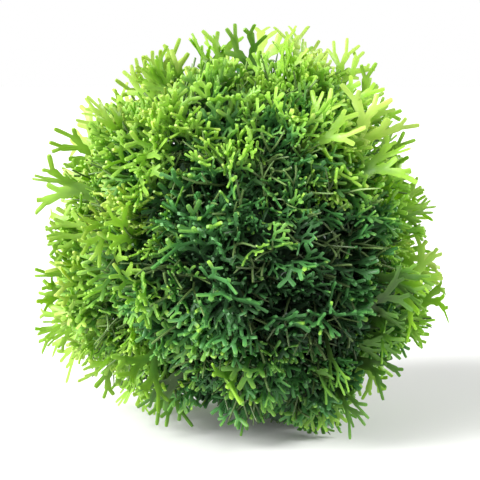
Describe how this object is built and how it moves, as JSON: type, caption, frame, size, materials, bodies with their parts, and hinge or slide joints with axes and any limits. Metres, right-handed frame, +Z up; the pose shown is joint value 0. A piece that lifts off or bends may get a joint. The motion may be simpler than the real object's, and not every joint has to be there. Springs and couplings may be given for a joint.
{
  "type": "riccia ball",
  "caption": "Loose ball of forked green liverwort straps tangled together, with a bright fringe of tips all round and a small flat spot underneath to rest on.",
  "frame": {"origin": "middle of the flat spot underneath that the ball rests on", "axes": "+Z up, away from the surface it rests on; the pictured side faces -Y, with +X to its right"},
  "size_m": [0.0719, 0.074, 0.0738],
  "materials": {
    "riccia_green": "moist, slightly glossy living leaf, translucent at the tips"
  },
  "bodies": {
    "root": {"riccia_ball": "riccia_green"}
  },
  "joints": []
}
